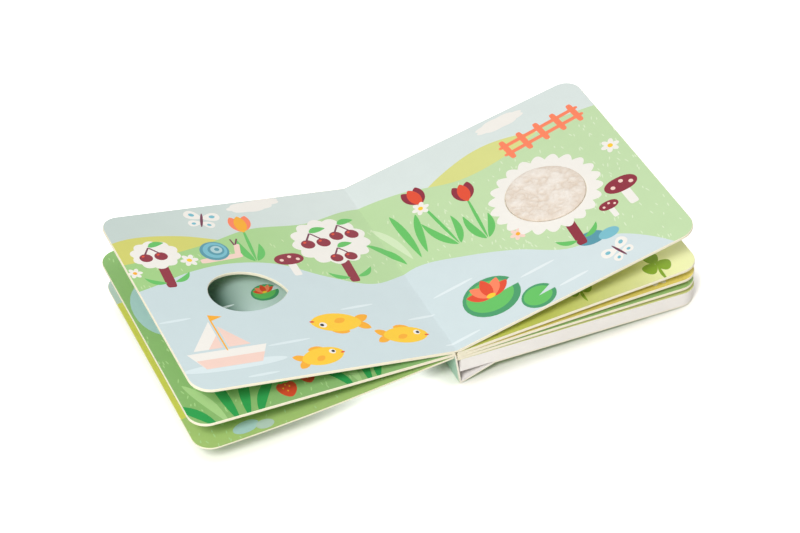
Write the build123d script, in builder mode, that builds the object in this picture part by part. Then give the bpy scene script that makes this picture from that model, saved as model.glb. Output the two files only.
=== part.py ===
from build123d import *
import os
from math import cos, degrees, radians, sin

# An open board touch-and-feel book, lying on a table with its spine along Y.
# The origin is on the table under the middle of the gutter. +X is the right-hand page, +Z is up.
# Lengths are in millimetres and angles in degrees.

# Boards
page_width = 180.0
page_height = 182.0
corner_radius = 13.0
leaf_thickness = 2.2
cover_thickness = 1.2
cover_width = 177.0
block_thickness = 10.4
block_inset = 1.7

# How far each leaf stands open, from level, at the moment the book lies still
back_tilt = 3.15
left_rises = [12.55, 3.75]
right_rises = [11.45, 1.65, -0.55, -2.25]

# Front cover: its droop beside the fold, and the curl of its outer part
cover_droop = 4.3
cover_flat = 75.0
cover_curl_radius = 1030.0

# Gutter and folds
gutter_gap = 0.8
gutter_sheet = 0.6
gutter_lap = 1.2
glue_depth = 4.0
fold_clearance = 0.3
spine_lean = 3.4
crease_distance = 27.0
fold_radius = 0.5

# Die-cut window in the first left leaf, measured from the gutter and the middle of the page
window_tip_x = 83.6
window_tip_y = 8.5
window_length = 59.0
window_rise = 25.8
window_drop = 14.7
window_end_lift = 0.6
window_end_radius = 19.7

# Fleece inlay in the first right leaf, measured from the fore-edge and the middle of the page
fleece_inset = 68.0
fleece_y = 0.0
fleece_length = 55.0
fleece_width = 51.0
fleece_turn = -25.0
fleece_recess = 1.3
fleece_proud = 1.0
fleece_edge_round = 0.8
fleece_clearance = 0.3

# Sound unit in the base block, measured from the spine side and the middle of the block
unit_x = 104.0
unit_y = 0.0
case_length = 84.0
case_width = 52.0
case_height = 8.0
case_wall = 1.4
case_floor = 1.6
case_radius = 5.0
case_recess = 0.2
case_clearance = 0.3
flange_width = 3.0
flange_thickness = 1.0
pocket_roof = 2.0

# Speaker, in the spine-side corner of the case
speaker_end_gap = 1.6
speaker_side_gap = 2.1
speaker_diameter = 29.0
speaker_rim_height = 1.4
speaker_cone_depth = 1.8
speaker_magnet_diameter = 14.0
speaker_height = 4.6
speaker_ring_wall = 1.2
speaker_ring_height = 3.0
grille_hole_diameter = 2.0
grille_pitch = 4.2
grille_rings = 2
grille_ring_holes = 6

# Button cells in a bay along the other side
cell_diameter = 11.6
cell_height = 5.4
cell_count = 3
cell_gap = 0.5
cell_edge_radius = 0.5
bay_side_gap = 1.1
bay_wall = 1.2
bay_height = 5.6
contact_thickness = 0.3
contact_width = 6.0

# Battery door and its screw
door_length = 50.0
door_width = 17.5
door_thickness = 1.1
door_radius = 2.0
door_clearance = 0.2
door_end_gap = 1.6
door_lip = 2.6
screw_inset = 4.0
screw_diameter = 2.4
screw_head_diameter = 4.4
screw_head_depth = 0.9
screw_length = 6.0
screw_slot_width = 0.8
screw_slot_depth = 0.4
screw_hole_clearance = 0.1
boss_diameter = 6.0

# Circuit board, in the room that the speaker and the bay leave
board_speaker_gap = 2.5
board_end_gap = 2.1
board_bay_gap = 4.5
board_side_gap = 2.6
board_thickness = 1.2
board_height = 2.2
post_diameter = 4.0
post_inset = 3.5
switch_size = 6.0
switch_height = 1.1
chip_diameter = 8.0
chip_height = 1.0
chip_taper = 25.0
chip_inset = 9.5
chip_offset = 4.0

# Push button over the board's switch
button_diameter = 18.0
button_flange_width = 2.0
button_flange_thickness = 0.8
button_sink = 0.3
button_clearance = 0.3
button_travel = 1.0
button_stop_gap = 0.1
button_edge_radius = 0.8
stem_diameter = 5.0

cut_overrun = 1.0

# Places worked out from the sizes
spine_side = -gutter_gap / 2
right_root = gutter_gap / 2
tilt = radians(back_tilt)
back_rise = page_width * sin(tilt)
block_bottom = cover_thickness
block_top = cover_thickness + block_thickness
gutter_height = back_rise + block_top / cos(tilt) + len(right_rises) * leaf_thickness
left_bottom = gutter_height - len(left_rises) * leaf_thickness
spine_face = spine_side - cover_thickness
hinge_x = spine_face - fold_clearance
hinge_z = left_bottom - fold_clearance - cover_thickness
cover_curl_angle = degrees((cover_width - cover_flat) / cover_curl_radius)
fleece_x = page_width - fleece_inset

# Layout of the sound unit, from the middle of its case
inner_length = case_length - 2 * case_wall
inner_width = case_width - 2 * case_wall
ring_radius = speaker_diameter / 2 + case_clearance + speaker_ring_wall
speaker_x = speaker_end_gap + ring_radius - inner_length / 2
speaker_y = inner_width / 2 - speaker_side_gap - ring_radius
bay_length = cell_count * (cell_diameter + cell_gap) + cell_gap
bay_width = cell_diameter + 2 * cell_gap
door_x = inner_length / 2 - door_end_gap - door_length / 2
bay_x = door_x - door_length / 2 + door_lip + bay_length / 2
bay_y = bay_side_gap + bay_wall + bay_width / 2 - inner_width / 2
screw_x = door_x + door_length / 2 - screw_inset
screw_y = bay_y
board_start_x = speaker_x + ring_radius + board_speaker_gap
board_end_x = inner_length / 2 - board_end_gap
board_start_y = bay_y + bay_width / 2 + bay_wall + board_bay_gap
board_end_y = inner_width / 2 - board_side_gap
board_length = board_end_x - board_start_x
board_width = board_end_y - board_start_y
board_x = (board_start_x + board_end_x) / 2
board_y = (board_start_y + board_end_y) / 2


def page_plane(root_x, root_z, slope):
    """Plane on the upper face of a leaf: X across the page, Y along the spine."""
    angle = radians(slope)
    return Plane(
        origin=(root_x, 0, root_z),
        x_dir=(cos(angle), 0, sin(angle)),
        z_dir=(-sin(angle), 0, cos(angle)),
    )


def leaf_point(side, root_x, root_z, rise, along, below):
    """Point of a leaf's section in the XZ plane, along it from its root and below its top."""
    angle = radians(rise)
    x = root_x + side * (along * cos(angle) + below * sin(angle))
    z = root_z + along * sin(angle) - below * cos(angle)
    return (x, z)


def leaf_outline(side, width):
    """Board leaf: straight at the spine, rounded at its two fore-edge corners."""
    spine_edge = Align.MIN if side > 0 else Align.MAX
    Rectangle(width, page_height, align=(spine_edge, Align.CENTER))
    fore_edge = vertices().group_by(Axis.X)[-1 if side > 0 else 0]
    fillet(fore_edge, radius=corner_radius)


def card_outline(line, thickness):
    """Section of a creased card: the outer line, then the inner one, mitred at each crease."""
    sides = [(Vector(end) - Vector(start)).normalized() for start, end in zip(line, line[1:])]
    normals = [Vector(-side.Y, side.X) for side in sides]
    inner = []
    for place, point in enumerate(line):
        before = normals[max(place - 1, 0)]
        after = normals[min(place, len(normals) - 1)]
        inner.append(Vector(point) + (before + after) * (thickness / (1 + before.dot(after))))
    return [Vector(point) for point in line] + inner[::-1]


# Each bundle of leaves from the top down: side, root, height of the root and rise of each leaf
left_leaves = [
    (-1, spine_side, gutter_height - place * leaf_thickness, rise)
    for place, rise in enumerate(left_rises)
]
right_leaves = [
    (1, right_root, gutter_height - place * leaf_thickness, rise)
    for place, rise in enumerate(right_rises)
]
window_plane = page_plane(spine_side, gutter_height, -left_rises[0])
fleece_plane = page_plane(right_root, gutter_height, right_rises[0])
block_plane = page_plane(right_root, back_rise, -back_tilt)


def unit_plane(height):
    """Plane inside the base block, above the outer face of the back cover, centred on the unit."""
    centre = block_plane.from_local_coords((unit_x, unit_y, height))
    return Plane(origin=centre, x_dir=block_plane.x_dir, z_dir=block_plane.z_dir)


# Pages: six board leaves, glued back to back and joined by their folds at the gutter
with BuildPart() as pages:
    for side, root_x, root_z, rise in left_leaves + right_leaves:
        with BuildSketch(page_plane(root_x, root_z, side * rise)):
            leaf_outline(side, page_width)
        extrude(amount=-leaf_thickness)
    for bundle in (left_leaves, right_leaves):
        side, root_x, top_z, top_rise = bundle[0]
        _, _, low_z, low_rise = bundle[-1]
        # The last right leaf is glued flat to the block, so its root follows the block's slope
        foot_rise = -back_tilt if side > 0 else low_rise
        with BuildSketch(Plane.XZ):
            with BuildLine():
                Polyline(
                    (root_x, top_z),
                    leaf_point(side, root_x, top_z, top_rise, glue_depth, 0),
                    leaf_point(side, root_x, low_z - leaf_thickness, foot_rise, glue_depth, 0),
                    (root_x, low_z - leaf_thickness),
                    close=True,
                )
            make_face()
        extrude(amount=page_height / 2, both=True)
    # The printed sheet of the open spread runs on over the gutter
    with BuildSketch(Plane.XZ):
        with Locations((0, gutter_height)):
            Rectangle(gutter_gap + 2 * gutter_lap, gutter_sheet, align=(Align.CENTER, Align.MAX))
    extrude(amount=page_height / 2, both=True)
    # Peek-through window: a leaf-shaped eye, pointed towards the gutter
    with BuildSketch(window_plane.offset(cut_overrun)):
        with BuildLine():
            tip = (-window_tip_x, -window_tip_y)
            end = (-window_tip_x - window_length, window_end_lift - window_tip_y)
            middle_x = -window_tip_x - window_length / 2
            middle_y = window_end_lift / 2 - window_tip_y
            ThreePointArc(tip, (middle_x, middle_y + window_rise), end)
            ThreePointArc(end, (middle_x, middle_y - window_drop), tip)
        make_face()
        fillet(vertices().sort_by(Axis.X)[0], radius=window_end_radius)
    extrude(amount=-leaf_thickness - 2 * cut_overrun, mode=Mode.SUBTRACT)
    # Oval recess that the fleece is let into
    with BuildSketch(fleece_plane.offset(cut_overrun)):
        with Locations((fleece_x, fleece_y)):
            Ellipse(
                fleece_length / 2 + fleece_clearance,
                fleece_width / 2 + fleece_clearance,
                rotation=fleece_turn,
            )
    extrude(amount=-fleece_recess - cut_overrun, mode=Mode.SUBTRACT)
pages.part.label = "pages"

# Fleece patch: an oval of curly pile on a woven back, a little proud of the page
with BuildPart() as fleece_patch:
    with BuildSketch(fleece_plane.offset(-fleece_recess)):
        with Locations((fleece_x, fleece_y)):
            Ellipse(fleece_length / 2, fleece_width / 2, rotation=fleece_turn)
    extrude(amount=fleece_recess + fleece_proud)
    pile_face = faces().sort_by(Axis(fleece_plane.origin, fleece_plane.z_dir))[-1]
    fillet(pile_face.edges(), radius=fleece_edge_round)
fleece_patch.part.label = "fleece_patch"

# Front cover: turns about the outer edge of the spine, and curls up towards its fore-edge
droop = radians(cover_droop)
cover_plane = Plane(
    origin=(hinge_x, 0, hinge_z),
    x_dir=(-cos(droop), 0, -sin(droop)),
    z_dir=(0, 1, 0),
)
with BuildPart() as front_cover:
    with BuildSketch(cover_plane):
        with BuildLine():
            outside = Line((0, 0), (cover_flat, 0))
            outside_curl = JernArc(outside @ 1, outside % 1, cover_curl_radius, cover_curl_angle)
            inside = Line((0, cover_thickness), (cover_flat, cover_thickness))
            inside_curl = JernArc(inside @ 1, inside % 1, cover_curl_radius - cover_thickness,
                                  cover_curl_angle)
            Line(outside @ 0, inside @ 0)
            Line(outside_curl @ 1, inside_curl @ 1)
        make_face()
    extrude(amount=page_height / 2, both=True)
    fold_end, *_, fore_edge = faces().sort_by(Axis(cover_plane.origin, cover_plane.x_dir))
    fillet(fore_edge.edges().group_by(SortBy.LENGTH)[0], radius=corner_radius)
    fillet(fold_end.edges().filter_by(Axis.Y), radius=fold_radius)
front_cover.part.label = "front_cover"

# Back cover: one creased card that makes the leaning spine, the free hinge strip and the glued panel
spine_foot = (spine_face + spine_lean, 0)
crease_point = leaf_point(1, right_root, back_rise, -back_tilt, crease_distance, 0)
fore_edge_point = leaf_point(1, right_root, back_rise, -back_tilt, page_width, 0)
with BuildPart() as back_cover:
    with BuildSketch(Plane.XZ):
        with BuildLine():
            fold_line = [(spine_face, left_bottom), spine_foot, crease_point, fore_edge_point]
            Polyline(*card_outline(fold_line, cover_thickness), close=True)
        make_face()
        fillet(vertices().sort_by_distance((*spine_foot, 0))[0], radius=fold_radius)
    extrude(amount=page_height / 2, both=True)
    split(bisect_by=Plane.XY.offset(left_bottom), keep=Keep.BOTTOM)
    fore_edge_face = faces().sort_by(Axis.X)[-1]
    fillet(fore_edge_face.edges().group_by(SortBy.LENGTH)[0], radius=corner_radius)
    with BuildSketch(unit_plane(-cut_overrun)):
        RectangleRounded(case_length + 2 * case_clearance, case_width + 2 * case_clearance,
                         case_radius + case_clearance)
    extrude(amount=cover_thickness + 2 * cut_overrun, mode=Mode.SUBTRACT)
back_cover.part.label = "back_cover"

# Base block: foam slab glued to the back panel, with a pocket for the sound unit
button_x = unit_x + board_x
button_y = unit_y + board_y
pocket_height = block_top - pocket_roof
with BuildPart() as base_block:
    with BuildSketch(block_plane.offset(block_bottom)):
        with Locations((block_inset, 0)):
            leaf_outline(1, page_width - block_inset)
    extrude(amount=block_thickness)
    with BuildSketch(unit_plane(block_bottom - cut_overrun)):
        RectangleRounded(case_length + 2 * (flange_width + case_clearance),
                         case_width + 2 * (flange_width + case_clearance),
                         case_radius + flange_width + case_clearance)
    extrude(amount=pocket_height - block_bottom + cut_overrun, mode=Mode.SUBTRACT)
    with BuildSketch(block_plane.offset(block_top + cut_overrun)):
        with Locations((button_x, button_y)):
            Circle(button_diameter / 2 + button_clearance)
    extrude(amount=-pocket_roof - 2 * cut_overrun, mode=Mode.SUBTRACT)
base_block.part.label = "base_block"


def unit_section(x, y):
    """Upright plane through a place in the sound unit, for shapes turned about it."""
    origin = block_plane.from_local_coords((unit_x + x, unit_y + y, 0))
    return Plane(origin=origin, x_dir=block_plane.x_dir, z_dir=-block_plane.y_dir)


def unit_axis(x, y):
    """Axis square to the back cover through a place in the sound unit."""
    return Axis(block_plane.from_local_coords((unit_x + x, unit_y + y, 0)), block_plane.z_dir)


def screw_profile(gap):
    """Half section of the countersunk door screw, or of its hole when a gap is given."""
    head_radius = screw_head_diameter / 2 + gap
    shank_radius = screw_diameter / 2 + gap
    head_end = case_recess + screw_head_depth
    Polyline(
        (0, case_recess),
        (head_radius, case_recess),
        (shank_radius, head_end),
        (shank_radius, case_recess + screw_length + gap),
        (0, case_recess + screw_length + gap),
        close=True,
    )


# Levels inside the sound unit, above the outer face of the back cover
floor_top = case_recess + case_floor
case_top = case_recess + case_height
door_top = case_recess + door_thickness
cell_top = door_top + cell_height
board_bottom = floor_top + board_height
board_top = board_bottom + board_thickness
switch_top = board_top + switch_height

# Case of the sound unit: a moulded tray, let into the block and flush with the back cover
with BuildPart() as unit_case:
    with BuildSketch(unit_plane(case_recess)):
        RectangleRounded(case_length, case_width, case_radius)
    extrude(amount=case_height)
    with BuildSketch(unit_plane(cover_thickness)):
        RectangleRounded(case_length + 2 * flange_width, case_width + 2 * flange_width,
                         case_radius + flange_width)
    extrude(amount=flange_thickness)
    with BuildSketch(unit_plane(floor_top)):
        RectangleRounded(inner_length, inner_width, case_radius - case_wall)
    extrude(amount=case_height, mode=Mode.SUBTRACT)
    # Ring that holds the speaker, posts for the circuit board, walls of the battery bay, screw boss
    with BuildSketch(unit_plane(floor_top)):
        with Locations((speaker_x, speaker_y)):
            Circle(ring_radius)
            Circle(ring_radius - speaker_ring_wall, mode=Mode.SUBTRACT)
    extrude(amount=speaker_ring_height)
    with BuildSketch(unit_plane(floor_top)):
        with Locations((board_x, board_y)):
            with GridLocations(board_length - 2 * post_inset, board_width - 2 * post_inset, 2, 2):
                Circle(post_diameter / 2)
    extrude(amount=board_height)
    with BuildSketch(unit_plane(floor_top)):
        with Locations((bay_x, bay_y)):
            Rectangle(bay_length + 2 * bay_wall, bay_width + 2 * bay_wall)
            Rectangle(bay_length, bay_width, mode=Mode.SUBTRACT)
        with Locations((screw_x, screw_y)):
            Circle(boss_diameter / 2)
    extrude(amount=bay_height)
    # Seat of the battery door, the way through to the cells, and the screw hole
    with BuildSketch(unit_plane(case_recess - cut_overrun)):
        with Locations((door_x, bay_y)):
            RectangleRounded(door_length + 2 * door_clearance, door_width + 2 * door_clearance,
                             door_radius + door_clearance)
    extrude(amount=door_thickness + cut_overrun, mode=Mode.SUBTRACT)
    with BuildSketch(unit_plane(case_recess)):
        with Locations((bay_x, bay_y)):
            Rectangle(bay_length, bay_width)
    extrude(amount=case_floor + cut_overrun, mode=Mode.SUBTRACT)
    with BuildSketch(unit_section(screw_x, screw_y)):
        with BuildLine():
            screw_profile(screw_hole_clearance)
        make_face()
    revolve(axis=unit_axis(screw_x, screw_y), mode=Mode.SUBTRACT)
    # Sound holes in front of the speaker
    with BuildSketch(unit_plane(case_recess - cut_overrun)):
        with Locations((speaker_x, speaker_y)):
            Circle(grille_hole_diameter / 2)
            for ring in range(1, grille_rings + 1):
                with PolarLocations(ring * grille_pitch, ring * grille_ring_holes):
                    Circle(grille_hole_diameter / 2)
    extrude(amount=case_floor + 2 * cut_overrun, mode=Mode.SUBTRACT)
unit_case.part.label = "unit_case"

# Speaker: a round frame on the sound holes, cone towards them and magnet behind
with BuildPart() as speaker:
    with BuildSketch(unit_section(speaker_x, speaker_y)):
        with BuildLine():
            rim = speaker_diameter / 2
            magnet = speaker_magnet_diameter / 2
            Polyline(
                (0, floor_top + speaker_cone_depth),
                (magnet / 2, floor_top + speaker_cone_depth),
                (rim - speaker_ring_wall, floor_top),
                (rim, floor_top),
                (rim, floor_top + speaker_rim_height),
                (magnet, floor_top + speaker_cone_depth + speaker_rim_height),
                (magnet, floor_top + speaker_height),
                (0, floor_top + speaker_height),
                close=True,
            )
        make_face()
    revolve(axis=unit_axis(speaker_x, speaker_y))
speaker.part.label = "speaker"

# Circuit board on its posts, with the push switch and the chip under its drop of resin
with BuildPart() as circuit_board:
    with BuildSketch(unit_plane(board_bottom)):
        with Locations((board_x, board_y)):
            Rectangle(board_length, board_width)
    extrude(amount=board_thickness)
    with BuildSketch(unit_plane(board_top)):
        with Locations((board_x, board_y)):
            Rectangle(switch_size, switch_size)
    extrude(amount=switch_height)
    with BuildSketch(unit_plane(board_top)):
        with Locations((board_start_x + chip_inset, board_y + chip_offset)):
            Circle(chip_diameter / 2)
    extrude(amount=chip_height, taper=chip_taper)
circuit_board.part.label = "circuit_board"

# Button cells, side by side on the door
with BuildPart() as button_cells:
    with BuildSketch(unit_plane(door_top)):
        with Locations((bay_x, bay_y)):
            with GridLocations(cell_diameter + cell_gap, 0, cell_count, 1):
                Circle(cell_diameter / 2)
    extrude(amount=cell_height)
    cell_ends = faces().filter_by(Axis(block_plane.origin, block_plane.z_dir))
    fillet(cell_ends.edges(), radius=cell_edge_radius)
button_cells.part.label = "button_cells"

# Contact strips over the cells: one joins the first two, one covers the last
with BuildPart() as battery_contacts:
    pitch = cell_diameter + cell_gap
    with BuildSketch(unit_plane(cell_top)):
        with Locations((bay_x - pitch / 2, bay_y)):
            Rectangle(pitch + contact_width, bay_width - 2 * screw_hole_clearance)
        with Locations((bay_x + pitch, bay_y)):
            Rectangle(contact_width, bay_width - 2 * screw_hole_clearance)
    extrude(amount=contact_thickness)
battery_contacts.part.label = "battery_contacts"

# Battery door, flush with the case and held by one screw
with BuildPart() as battery_door:
    with BuildSketch(unit_plane(case_recess)):
        with Locations((door_x, bay_y)):
            RectangleRounded(door_length, door_width, door_radius)
    extrude(amount=door_thickness)
    with BuildSketch(unit_section(screw_x, screw_y)):
        with BuildLine():
            screw_profile(screw_hole_clearance)
        make_face()
    revolve(axis=unit_axis(screw_x, screw_y), mode=Mode.SUBTRACT)
battery_door.part.label = "battery_door"

# Door screw with a cross slot
with BuildPart() as door_screw:
    with BuildSketch(unit_section(screw_x, screw_y)):
        with BuildLine():
            screw_profile(0)
        make_face()
    revolve(axis=unit_axis(screw_x, screw_y))
    with BuildSketch(unit_plane(case_recess)):
        with Locations((screw_x, screw_y)):
            Rectangle(screw_diameter, screw_slot_width)
            Rectangle(screw_slot_width, screw_diameter)
    extrude(amount=screw_slot_depth, mode=Mode.SUBTRACT)
door_screw.part.label = "door_screw"

# Push button: its flange lies under the block's roof and its stem stands over the switch
flange_top = pocket_height - button_stop_gap
with BuildPart() as sound_button:
    with BuildSketch(unit_plane(flange_top - button_flange_thickness)):
        with Locations((board_x, board_y)):
            Circle(button_diameter / 2 + button_flange_width)
    extrude(amount=button_flange_thickness)
    with BuildSketch(unit_plane(flange_top)):
        with Locations((board_x, board_y)):
            Circle(button_diameter / 2)
    extrude(amount=block_top - button_sink - flange_top)
    cap_face = faces().sort_by(unit_axis(board_x, board_y))[-1]
    fillet(cap_face.edges(), radius=button_edge_radius)
    with BuildSketch(unit_plane(switch_top + button_travel + button_stop_gap)):
        with Locations((board_x, board_y)):
            Circle(stem_diameter / 2)
    extrude(amount=flange_top - switch_top - button_travel - button_stop_gap)
sound_button.part.label = "sound_button"

pieces = [
    pages,
    fleece_patch,
    front_cover,
    back_cover,
    base_block,
    unit_case,
    speaker,
    circuit_board,
    button_cells,
    battery_contacts,
    battery_door,
    door_screw,
    sound_button,
]
os.makedirs("parts", exist_ok=True)
for piece in pieces:
    export_step(piece.part, f"parts/{piece.part.label}.step")
print(f"hinge axis x {hinge_x:.3f} z {hinge_z:.3f}, gutter height {gutter_height:.3f}")
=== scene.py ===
import bmesh
import bpy
import random
from cmath import phase, rect
from math import atan2, cos, radians, sin
from mathutils import Matrix, Vector, noise
from mathutils.geometry import delaunay_2d_cdt, interpolate_bezier


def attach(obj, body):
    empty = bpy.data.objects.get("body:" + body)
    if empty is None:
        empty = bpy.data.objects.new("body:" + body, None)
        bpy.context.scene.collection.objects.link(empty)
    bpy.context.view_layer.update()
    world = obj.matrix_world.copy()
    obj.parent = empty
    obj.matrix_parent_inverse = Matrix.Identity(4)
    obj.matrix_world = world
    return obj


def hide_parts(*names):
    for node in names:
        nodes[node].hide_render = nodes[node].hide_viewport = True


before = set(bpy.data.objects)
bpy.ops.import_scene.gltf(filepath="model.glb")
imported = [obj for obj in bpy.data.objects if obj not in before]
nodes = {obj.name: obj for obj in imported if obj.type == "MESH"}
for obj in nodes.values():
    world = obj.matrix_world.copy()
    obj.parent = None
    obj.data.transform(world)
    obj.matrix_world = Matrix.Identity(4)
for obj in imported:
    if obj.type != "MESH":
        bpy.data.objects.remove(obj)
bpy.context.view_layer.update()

# Printing inks and board
# The leaves are greyboard with printed paper glued on both sides and a thin satin varnish.
# Every ink is one varnished colour, which may fade into a second one across the page; that fading
# is painted light and shade.
mm = 0.001
page_width = 180.0
print_mottle = 0.05


def linear(colour):
    """Linear RGBA of a colour given as it looks, in 0 to 255."""
    return [((c / 255 + 0.055) / 1.055) ** 2.4 for c in colour] + [1.0]


def wire(tree, kind, settings=None, **inputs):
    """Adds a node and fills its inputs with values, or with links from other sockets."""
    node = tree.nodes.new(kind)
    for name, value in (settings or {}).items():
        setattr(node, name, value)
    for name, value in inputs.items():
        key = int(name[1:]) if name[1:].isdigit() else name.replace("_", " ")
        if isinstance(value, bpy.types.NodeSocket):
            tree.links.new(value, node.inputs[key])
        else:
            node.inputs[key].default_value = value
    return node


def computed(tree, operation, *values, **settings):
    """Output of a math node over values or sockets."""
    inputs = {f"_{place}": value for place, value in enumerate(values)}
    return wire(tree, "ShaderNodeMath", {"operation": operation, **settings}, **inputs).outputs[0]


def own_place(tree):
    """A point's place in its piece's own coordinates."""
    return tree.nodes.new("ShaderNodeTexCoord").outputs["Object"]


def clouds(tree, scale, detail, stretch=None):
    """Noise between 0 and 1 on a piece, or stretched noise with a scale for each axis."""
    place = own_place(tree)
    if stretch is not None:
        place = wire(tree, "ShaderNodeMapping", Vector=place, Scale=stretch).outputs[0]
    return wire(tree, "ShaderNodeTexNoise", Vector=place, Scale=scale, Detail=detail).outputs["Fac"]


def between(tree, mask, low, high):
    """A value that goes from low to high with a mask."""
    return wire(tree, "ShaderNodeMapRange", Value=mask, To_Min=low, To_Max=high).outputs["Result"]


def mixed_colour(tree, mask, low, high):
    """Colour that goes from low to high with a mask. Each may be a colour or a socket."""
    return wire(tree, "ShaderNodeMix", {"data_type": "RGBA"}, _0=mask, _6=low, _7=high).outputs[2]


def varnished_print():
    """Group: a printed colour with faint mottle, roller grain and the tiny relief of varnish,
    fading from a near colour to a far one across X as painted light and shade.
    """
    tree = bpy.data.node_groups.new("varnished print", "ShaderNodeTree")
    for way, kind, names in (
        ("INPUT", "Color", ("Near colour", "Far colour")),
        ("INPUT", "Float", ("From", "To")),
        ("OUTPUT", "Color", ("Colour",)),
        ("OUTPUT", "Float", ("Roughness", "Height")),
    ):
        for name in names:
            tree.interface.new_socket(name, in_out=way, socket_type="NodeSocket" + kind)
    entry = tree.nodes.new("NodeGroupInput").outputs
    out = tree.nodes.new("NodeGroupOutput").inputs
    across = wire(tree, "ShaderNodeSeparateXYZ", Vector=own_place(tree))
    # Painted light and shade: the colour fades from the near to the far colour across X.
    fade = wire(tree, "ShaderNodeMapRange", {"interpolation_type": "SMOOTHSTEP"},
                Value=across.outputs["X"], From_Min=entry["From"], From_Max=entry["To"])
    colour = mixed_colour(tree, fade.outputs["Result"], entry["Near colour"], entry["Far colour"])
    cloudy = clouds(tree, scale=70.0, detail=3.0)
    grain = clouds(tree, scale=1900.0, detail=2.0)
    centred = computed(tree, "SUBTRACT", computed(tree, "ADD", cloudy, grain), 1.0)
    amount = computed(tree, "MULTIPLY_ADD", centred, print_mottle, 1.0)
    tinted = wire(tree, "ShaderNodeVectorMath", {"operation": "SCALE"}, _0=colour, Scale=amount)
    tree.links.new(tinted.outputs[0], out["Colour"])
    tree.links.new(between(tree, cloudy, 0.42, 0.54), out["Roughness"])
    tree.links.new(grain, out["Height"])
    return tree


print_group = varnished_print()


def surface(name, roughness=0.5, **constants):
    """An empty material with its Principled shader; constants are set on the shader's sockets."""
    material = bpy.data.materials.new(name)
    material.use_nodes = True
    shader = material.node_tree.nodes["Principled BSDF"]
    shader.inputs["Roughness"].default_value = roughness
    for key, value in constants.items():
        shader.inputs[key.replace("_", " ")].default_value = value
    return material, material.node_tree, shader


def finish(tree, shader, colour, height, strength, distance, rough=None):
    """Feeds a shader its colour and its relief, and its roughness where that varies."""
    tree.links.new(colour, shader.inputs["Base Color"])
    if rough is not None:
        tree.links.new(rough, shader.inputs["Roughness"])
    bump = wire(tree, "ShaderNodeBump", Strength=strength, Distance=distance, Height=height)
    tree.links.new(bump.outputs["Normal"], shader.inputs["Normal"])


def varnish(tree, shader, near, far, start=-page_width, end=page_width):
    """Puts the varnished print on a shader, fading from near to far between two places on X as
    painted light and shade.
    """
    mix = wire(tree, "ShaderNodeGroup", {"node_tree": print_group}, Near_colour=near,
               Far_colour=far, From=start * mm, To=end * mm).outputs
    finish(tree, shader, mix["Colour"], mix["Height"], strength=0.15, distance=0.00005,
           rough=mix["Roughness"])


def ink(name, near, far=None, *places):
    """A varnished ink, plain or fading from one colour to another between two places in mm; the
    fading is painted light and shade.
    """
    material, tree, shader = surface("ink " + name, Specular_IOR_Level=0.35)
    varnish(tree, shader, linear(near), linear(far or near), *places)
    return material


def pressed_board():
    """Cut edge of the board: cream pulp in fine layers along the edge."""
    material, tree, shader = surface("board edge", 0.85, Specular_IOR_Level=0.2)
    layers = clouds(tree, scale=1.0, detail=3.0, stretch=(250.0, 250.0, 3800.0))
    pulp = mixed_colour(tree, layers, linear((238, 228, 198)), linear((253, 249, 230)))
    finish(tree, shader, pulp, layers, strength=0.3, distance=0.0001)
    return material


board = pressed_board()

# Outlines of the print, in millimetres on the sheet laid flat
# X runs from the fold, left page below zero, and Y from the middle of the page to its far edge.
past_page = 110.0
scallop_depth = 0.12
ridge_steps = 8


def turned(turn, along, across=0.0):
    """A step along and across a direction in the plane."""
    return Matrix.Rotation(radians(turn), 2) @ Vector((along, across))


def outline_of(bm, matrix=None):
    """The points of a scratch outline, in order, and an end to the scratch mesh."""
    face = next(iter(bm.faces))
    points = [(matrix @ v.co if matrix else v.co).xy.copy() for v in face.verts]
    bm.free()
    return points


def spot(x, y, length, width, turn=0.0, ends=2.0, sides=2.0, bend=0.0, taper=0.0, points=28):
    """An oval, or with other powers a leaf or a bar. It may bend sideways and taper to one end."""
    bm = bmesh.new()
    bmesh.ops.create_circle(bm, cap_ends=True, segments=points, radius=1)
    for v in bm.verts:
        along = abs(v.co.x) ** (2 / ends) * (1 if v.co.x > 0 else -1)
        across = abs(v.co.y) ** (2 / sides) * (1 if v.co.y > 0 else -1)
        v.co.x = along * length / 2
        v.co.y = across * (1 + taper * along) * width / 2 + bend * (1 - along * along)
    place = Matrix.Translation((x, y, 0)) @ Matrix.Rotation(radians(turn), 4, "Z")
    return outline_of(bm, place)


def blade(x, y, length, width, turn, bend=0.0, taper=-0.25):
    """A blade of grass or a stem that grows from its foot at (x, y)."""
    middle = turned(turn, length / 2)
    return spot(x + middle.x, y + middle.y, length, width, turn, 2.0, 1.3, bend, taper)


def bar(x, y, length, width, turn=0.0):
    """A straight bar with blunt ends."""
    return spot(x, y, length, width, turn, 9.0, 5.0, points=36)


def puff(x, y, length, width, lobes):
    """A round outline of many scallops, such as a cloud or a fluffy crown."""
    bm = bmesh.new()
    bmesh.ops.create_circle(bm, cap_ends=True, segments=lobes * 8, radius=1)
    for v in bm.verts:
        lobe = abs(sin(atan2(v.co.y, v.co.x) * lobes / 2))
        swell = 1 - scallop_depth + scallop_depth * lobe
        v.co.x *= swell * length / 2
        v.co.y *= swell * width / 2
    return outline_of(bm, Matrix.Translation((x, y, 0)))


def smooth_line(points):
    """A flowing line through a few points."""
    line = []
    for place in range(len(points) - 1):
        before, start, end, after = (
            Vector(points[min(max(place + step, 0), len(points) - 1)]) for step in (-1, 0, 1, 2)
        )
        line += interpolate_bezier(start, start + (end - before) / 6, end - (after - start) / 6,
                                   end, ridge_steps)[:-1]
    return [p.xy for p in line] + [Vector(points[-1])]


def ground(*ridge):
    """Everything below a flowing ridge, down past the near edge of the page."""
    line = smooth_line(ridge)
    return [Vector((line[-1].x, -past_page)), *reversed(line), Vector((line[0].x, -past_page))]


def box(start, end):
    """A field between two places on X, past the page's near and far edges."""
    return [Vector(corner) for corner in ((start, -past_page), (end, -past_page),
                                          (end, past_page), (start, past_page))]


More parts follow.
